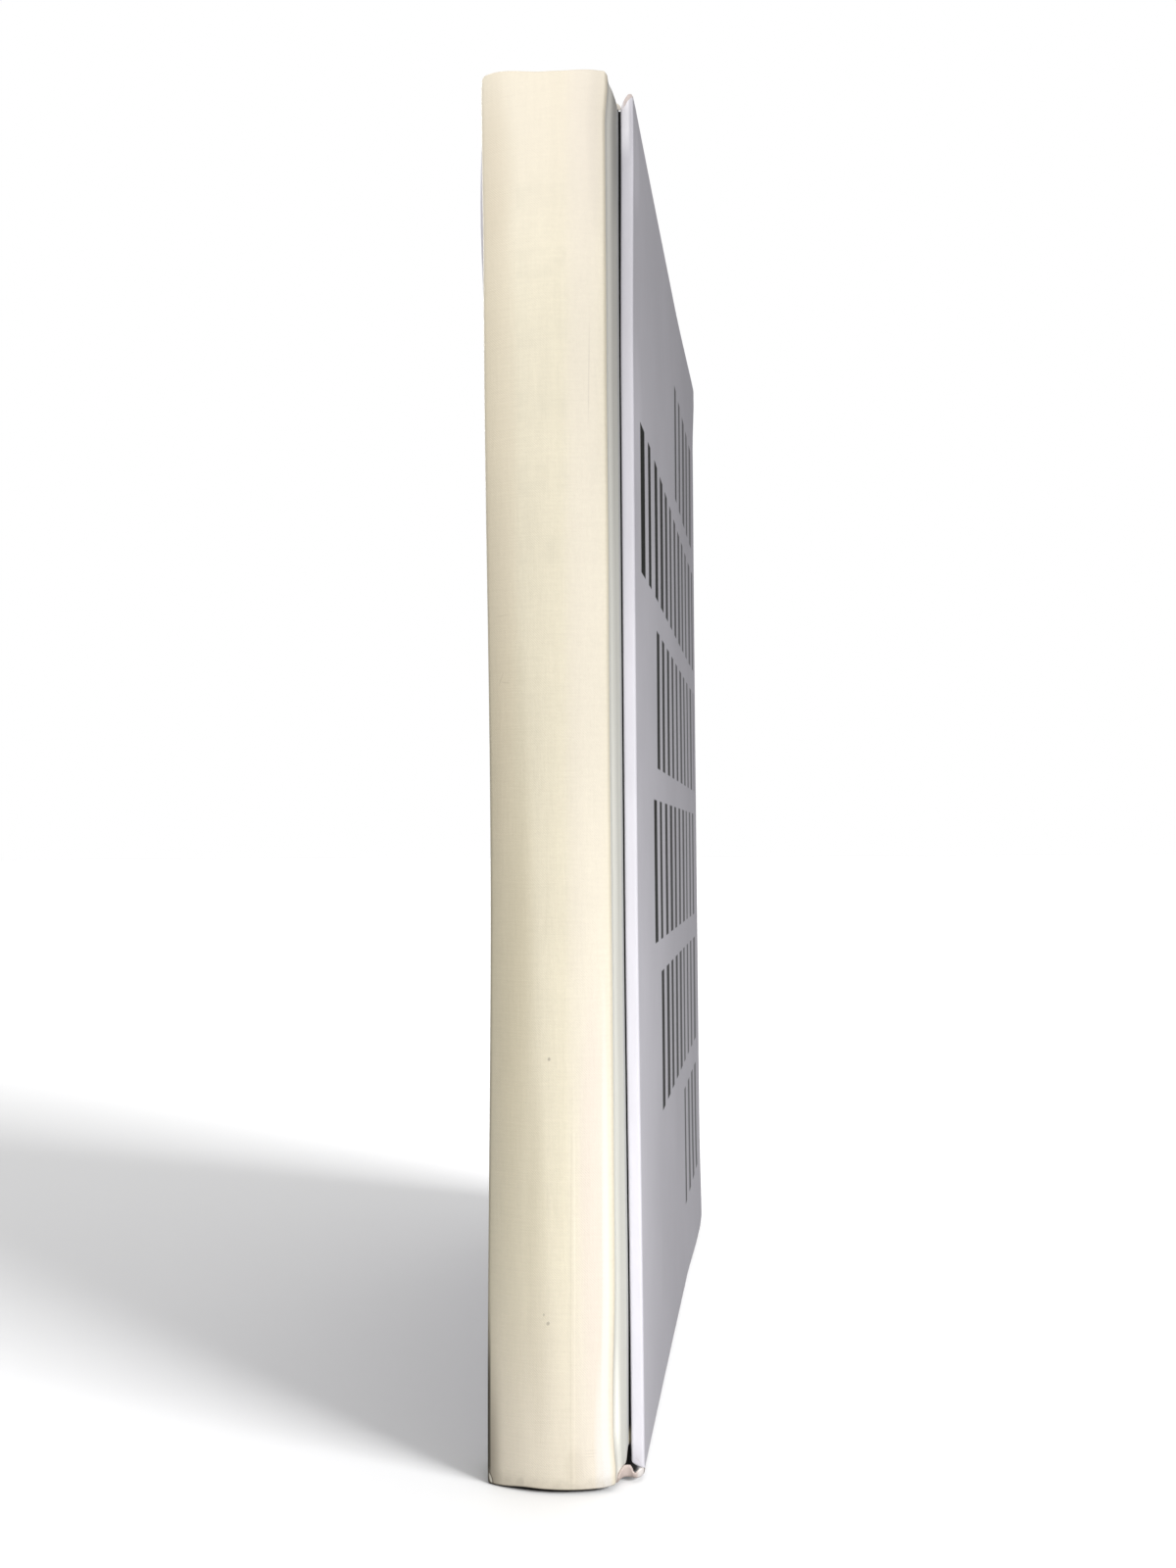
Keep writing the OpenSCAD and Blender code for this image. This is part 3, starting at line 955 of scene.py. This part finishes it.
def spine_foot_wear_and_shade(surface, u, v, colour):
    """The spine's foot: painted shade on its left side and darker on its left edge, the seam, a chip, and
    patchy dirt and painted shade along the fold.
    """
    # Painted shade: the left side darker near the foot
    left_foot_shade = (surface.ramp(u, 7.4, 10.2), surface.ramp(v, 24.0, 3.0))
    colour = surface.tinted(colour, FOOT_SHADE_BROWN, *left_foot_shade, 0.75)
    # Painted shade: the left edge near the foot darker still
    left_edge_shade = (surface.ramp(u, 9.95, 10.35), surface.ramp(v, 32.0, 14.0))
    colour = surface.tinted(colour, FOOT_EDGE_SHADE, *left_edge_shade, 0.93)
    off_seam = surface.plus(u, SPINE_SHEET_HALF)
    seam = (surface.ramp(off_seam, 0.34, 0.2), surface.ramp(v, 34.0, 20.0))
    colour = surface.tinted(colour, SEAM_GREY, *seam, 0.5)
    chip_rim = surface.blob(u, v, (10.15, 0.4), (0.42, 1.1), -23.0, 0.4)
    colour = surface.tinted(colour, CHIP_RIM, chip_rim, 0.95)
    chip = surface.blob(u, v, (10.2, 0.4), (0.25, 0.8), -23.0, 0.4)
    colour = surface.tinted(colour, CHIP_CORE, chip)
    patchy = surface.ramp(surface.noise(surface.vector(u, v), 0.5, 5.0, 0.7), 0.4, 0.7)
    # Dirt and painted shade: the lowest few millimetres darker in patches
    colour = surface.tinted(colour, END_DIRT_AND_SHADE, surface.ramp(v, 3.5, 0.3), patchy, 0.35)
    # Painted shade along the very foot of the fold
    return surface.tinted(colour, END_SHADE, surface.ramp(v, 2.4, 0.2), 0.22)


def spine_cloth():
    """The covering on the spine, cream and stained, with painted shade and highlights and a long crease
    near its foot.
    """
    surface = Surface("spine_cloth_cream", SPINE_CREAM, 0.5)
    u, v = surface.sheet()
    colour = spine_grain(surface, surface.vector(u, v))
    near_end = surface.ramp(surface.apart(v, HEIGHT / 2), 76, 114)
    colour = surface.tinted(colour, PALE_CREAM, near_end, 0.45)
    colour = surface.tinted(colour, BLOCK_TONE, spine_blocks(surface, u, v), 0.13)
    colour = spine_marks(surface, u, v, colour)
    colour = spine_stains(surface, u, v, colour)
    surface.paint(spine_foot_wear_and_shade(surface, u, v, colour))
    crease = surface.blob(u, v, (-4.3, 26.0), (0.35, 36.0), 0.4)
    height = surface.plus(weave(surface, u, v), surface.product(crease, 1.5))
    surface.relief(height, SPINE_RELIEF, WEAVE_STRENGTH)
    return surface.material


def joint_painted_light(surface, u, v):
    """Painted light and shade on the joint: lighter near its seam at u = 0 and darker towards the slit,
    lighter near the seam low down, and darker near the slit high up and most at the head.
    """
    across = surface.ramp(u, 2.1, 3.8, 1.11, 0.875)
    low_seam = surface.product(surface.ramp(u, 3.8, 2.2), surface.ramp(v, 26.0, 8.0))
    low_seam = surface.product(low_seam, surface.ramp(v, 4.0, 9.0))
    high_slit = surface.product(surface.ramp(u, 2.4, 4.2), surface.ramp(v, 140.0, 200.0))
    head_slit = surface.product(surface.ramp(u, 2.8, 4.4), surface.ramp(v, 210.0, 230.0))
    tone = surface.math("MULTIPLY_ADD", high_slit, -0.12, across)
    tone = surface.math("MULTIPLY_ADD", low_seam, 0.30, tone)
    return surface.math("MULTIPLY_ADD", head_slit, -0.22, tone)


def small_fold_colour(surface, u, v):
    """The colours along the foot's small fold, with painted crevice shade towards its end, and of the
    head's.
    """
    colour = surface.mixed(surface.ramp(u, 24.3, 24.9), FOLD_PINK, FOLD_PALE)
    # Painted shade in the crevice at the fold's end
    colour = surface.tinted(colour, FOLD_CREVICE_SHADE, surface.ramp(u, 25.7, 26.2))
    return surface.tinted(colour, HEAD_FOLD_CREAM, surface.ramp(v, 100, 140))


def joint_cloth():
    """The covering in the joints, grey and streaked, with painted shade towards its head and the slit and
    painted light near its seam.
    """
    surface = Surface("joint_cloth_grey", JOINT_GREY, 0.6)
    u, v = surface.sheet()
    streaks = surface.noise(surface.stretched(surface.vector(u, v), (1.0, 0.02, 1.0)), 0.7, 4.0)
    colour = surface.toned(JOINT_GREY, streaks, 0.88, 1.06)
    # Painted shade: the joint greyer and darker towards its head
    colour = surface.tinted(colour, HIGH_JOINT_SHADE, surface.ramp(v, 110, 225), 0.4)
    # Painted light and shade across the joint
    colour = surface.scaled(colour, joint_painted_light(surface, u, v))
    # Painted shade: the joint darker next to the slit
    colour = surface.tinted(colour, NEAR_SLIT_SHADE, surface.ramp(u, 4.6, 5.9), 0.55)
    # Painted shade of the slit along the joint's edge
    colour = surface.tinted(colour, deep_shade(surface, v), surface.ramp(u, 6.05, 6.3))
    on_fold = surface.ramp(u, FOLD_START - 5, FOLD_START - 4)
    surface.paint(surface.tinted(colour, small_fold_colour(surface, u, v), on_fold))
    surface.relief(weave(surface, u, v), COVER_RELIEF, WEAVE_STRENGTH)
    return surface.material


def block_pages():
    """The cut edges of the leaves: fine lines along the pages."""
    surface = Surface("pages_cut_edge", PAGE_CREAM, 0.8)
    place = surface.place()
    leaves = surface.noise(surface.stretched(place, (9.0, 0.05, 0.05)), 1.0, 3.0, 0.8)
    bundles = surface.noise(surface.stretched(place, (0.55, 0.02, 0.01)), 1.0, 2.0)
    colour = surface.toned(PAGE_CREAM, leaves, 0.80, 1.06)
    surface.paint(surface.toned(colour, bundles, 0.94, 1.04))
    surface.relief(surface.plus(leaves, bundles), 0.08)
    return surface.material


def fibrous(name, colour, rough, grain, depth, spread=0.04):
    """Paper, card or board: a mottled colour and a fibrous relief."""
    surface = Surface(name, colour, rough)
    place = surface.place()
    mottle = surface.noise(place, 0.12, 4.0)
    fibre = surface.noise(surface.stretched(place, (1.0, 1.0, 0.35)), grain, 5.0, 0.65)
    made = surface.toned(colour, mottle, 1 - spread, 1 + spread)
    surface.paint(surface.toned(made, fibre, 1 - spread, 1 + spread))
    surface.relief(fibre, depth)
    return surface.material


def gauze():
    """An open net of threads along x and z."""
    surface = Surface("open_gauze", GAUZE_WHITE, 0.9)
    x, _, z = surface.split(surface.place())
    net = surface.most([surface.ripple(x, 0.9), surface.ripple(z, 0.9)])
    surface.paint(surface.toned(GAUZE_WHITE, net, 0.6, 1.05))
    surface.relief(net, 0.08)
    return surface.material


def band_thread():
    """The woven bead of a head or tail band, with slanting stitches."""
    surface = Surface("band_thread_white", THREAD_WHITE, 0.55)
    x, _, z = surface.split(surface.place())
    stitch = surface.ripple(surface.plus(x, surface.product(z, 0.4)), 0.55)
    surface.paint(surface.toned(THREAD_WHITE, stitch, 0.72, 1.04))
    surface.relief(stitch, 0.06)
    return surface.material


def dress(material, *nodes):
    """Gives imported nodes' own objects a better material."""
    for node in nodes:
        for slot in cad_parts[node].material_slots:
            slot.material = material


# Pieces on their bodies

skin = spine_skin()
skin.data.materials.append(spine_cloth())
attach(skin, "book_block")
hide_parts("spine_cloth")

card = spine_card()
card.data.materials.append(fibrous("spine_card_tan", CARD_TAN, 0.85, 1.2, 0.02))
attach(card, "book_block")
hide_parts("spine_strip")

joint_material = joint_cloth()
grey_board = fibrous("grey_board_pulp", BOARD_GREY, 0.9, 1.4, 0.03, 0.08)
for side, body in ((1, "front_cover"), (-1, "back_cover")):
    word = body.split("_")[0]
    joint = joint_skin(side, word + "_joint_skin")
    joint.data.materials.append(joint_material)
    if side > 0:
        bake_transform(joint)
    else:
        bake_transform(joint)
    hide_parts(word + "_cloth")

    core = board_core(side, word + "_board_core")
    core.data.materials.append(grey_board)
    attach(core, body)
    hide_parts(word + "_board")

    cover = cover_skin(side, word + "_cover_skin")
    cover.data.materials.append(cover_cloth(word + "_cover_cloth", printed=side > 0))
    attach(cover, body)
    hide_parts(word + "_cloth")

endpaper = fibrous("endpaper_white", ENDPAPER_WHITE, 0.75, 2.0, 0.01, 0.02)
dress(endpaper, "front_flyleaf", "back_flyleaf", "front_pastedown", "back_pastedown")
dress(band_thread(), "headband", "tailband")
dress(block_pages(), "text_block")
dress(gauze(), "mull")
dress(fibrous("lining_kraft", LINING_BROWN, 0.8, 1.6, 0.01), "spine_lining")


# Floor, light and camera

CAMERA_AT = Vector((37.74, -296.9, 105.75))
# Yaw, pitch and roll
CAMERA_TURN = (8.402, 2.790, -0.378)
CAMERA_LENS = 29.818
FLOOR_SEEN = (0.72, 0.72, 0.722)
FLOOR_BOUNCE = (0.12, 0.12, 0.12)
FLOOR_HALF = 12000.0
FLOOR_DROP = -0.6
WORLD_LEVEL = 0.03
LEVEL_AT = 300.0


def make_floor():
    """A plain pale floor, a little below the tail edge: the book stands on its lowest fibres."""
    corner_signs = ((-1, -1), (1, -1), (1, 1), (-1, 1))
    points = [Vector((a * FLOOR_HALF, b * FLOOR_HALF, FLOOR_DROP)) * MM for a, b in corner_signs]
    mesh = bpy.data.meshes.new("floor")
    mesh.from_pydata(points, [], [(0, 1, 2, 3)])
    floor = new_object("floor", mesh)
    surface = Surface("floor_white", FLOOR_SEEN, 0.9, specular=0.0)
    seen = surface.node("LightPath").outputs["Is Camera Ray"]
    surface.paint(surface.tinted(FLOOR_BOUNCE, FLOOR_SEEN, seen))
    floor.data.materials.append(surface.material)
    return floor


def new_lamp(name, kind, towards):
    """A white lamp that shines from the direction towards, hidden from the camera."""
    lamp = new_object(name, bpy.data.lights.new(name, kind))
    lamp.rotation_mode = "QUATERNION"
    lamp.rotation_quaternion = towards.to_track_quat("Z", "Y")
    lamp.visible_camera = False
    return lamp


def sun(name, azimuth, elevation, level, spread):
    """A far lamp. Its azimuth is measured from +X towards -Y, and a level of 1 lights a white
    surface that faces it to white."""
    a, e = math.radians(azimuth), math.radians(elevation)
    towards = Vector((math.cos(a) * math.cos(e), -math.sin(a) * math.cos(e), math.sin(e)))
    lamp = new_lamp(name, "SUN", towards)
    lamp.data.energy = level * math.pi
    lamp.data.angle = math.radians(spread)
    return lamp


def soft_box(name, at, size, level):
    """A square lamp that faces the spine, with its level as measured LEVEL_AT away."""
    towards = (Vector(at) - Vector((0, APEX_Y, at[2] * 0.5))).normalized()
    lamp = new_lamp(name, "AREA", towards)
    lamp.data.shape = "SQUARE"
    lamp.data.size = size * MM
    lamp.data.energy = level * (math.pi * LEVEL_AT * MM) ** 2
    lamp.location = Vector(at) * MM
    return lamp


def make_world(strength):
    """White to the camera, and an even light on everything else."""
    world = bpy.data.worlds.new("studio")
    scene.world = world
    world.use_nodes = True
    tree = world.node_tree
    back = tree.nodes["Background"]
    back.inputs["Color"].default_value = (1, 1, 1, 1)
    rays = tree.nodes.new("ShaderNodeLightPath")
    seen = tree.nodes.new("ShaderNodeMath")
    seen.operation = "MULTIPLY_ADD"
    tree.links.new(rays.outputs["Is Camera Ray"], seen.inputs[0])
    seen.inputs[1].default_value = 1 - strength
    seen.inputs[2].default_value = strength
    tree.links.new(seen.outputs[0], back.inputs["Strength"])


def make_camera():
    """The photograph's own camera, turned from looking along +Y."""
    camera = new_object("camera", bpy.data.cameras.new("camera"))
    camera.data.lens = CAMERA_LENS
    camera.data.sensor_width = 36
    camera.data.clip_start, camera.data.clip_end = 0.01, 60
    yaw, pitch, roll = CAMERA_TURN
    turn = Matrix.Rotation(math.radians(yaw), 4, "Z") @ Matrix.Rotation(math.radians(90 + pitch), 4, "X")
    turn @= Matrix.Rotation(math.radians(roll), 4, "Z")
    camera.matrix_world = Matrix.Translation(CAMERA_AT * MM) @ turn
    scene.camera = camera


def only_lights(lamps, objects):
    """Keeps some lamps' light to the given objects, while everything still casts its shadow."""
    group = bpy.data.collections.new("lit_by_" + lamps[0].name)
    for obj in objects:
        group.objects.link(obj)
    for lamp in lamps:
        lamp.light_linking.receiver_collection = group


floor = make_floor()
make_world(WORLD_LEVEL)
only_lights(
    [
        sun("floor_key", 30, 28, 0.71, 12),
        sun("floor_second", 18, 33, 0.62, 12),
        sun("floor_right", 0, 60, 0.58, 90),
        sun("floor_behind", 250, 45, 0.56, 90),
    ],
    [floor],
)
only_lights(
    [
        soft_box("high_left", (-80, -230, 300), 100, 0.238),
        soft_box("low_right", (104, -180, 42), 60, 0.060),
        soft_box("right", (150, -200, 90), 100, 0.086),
        soft_box("near_foot", (70, -150, 20), 40, 0.016),
        sun("wide_right", 55, 30, 0.600, 60),
        sun("back_fill", 225, 35, 0.62, 40),
        sun("fore_fill", 246, 30, 0.34, 30),
    ],
    [piece for piece in scene.objects if piece.type == "MESH" and piece is not floor],
)
make_camera()
scene.view_settings.view_transform = "Standard"
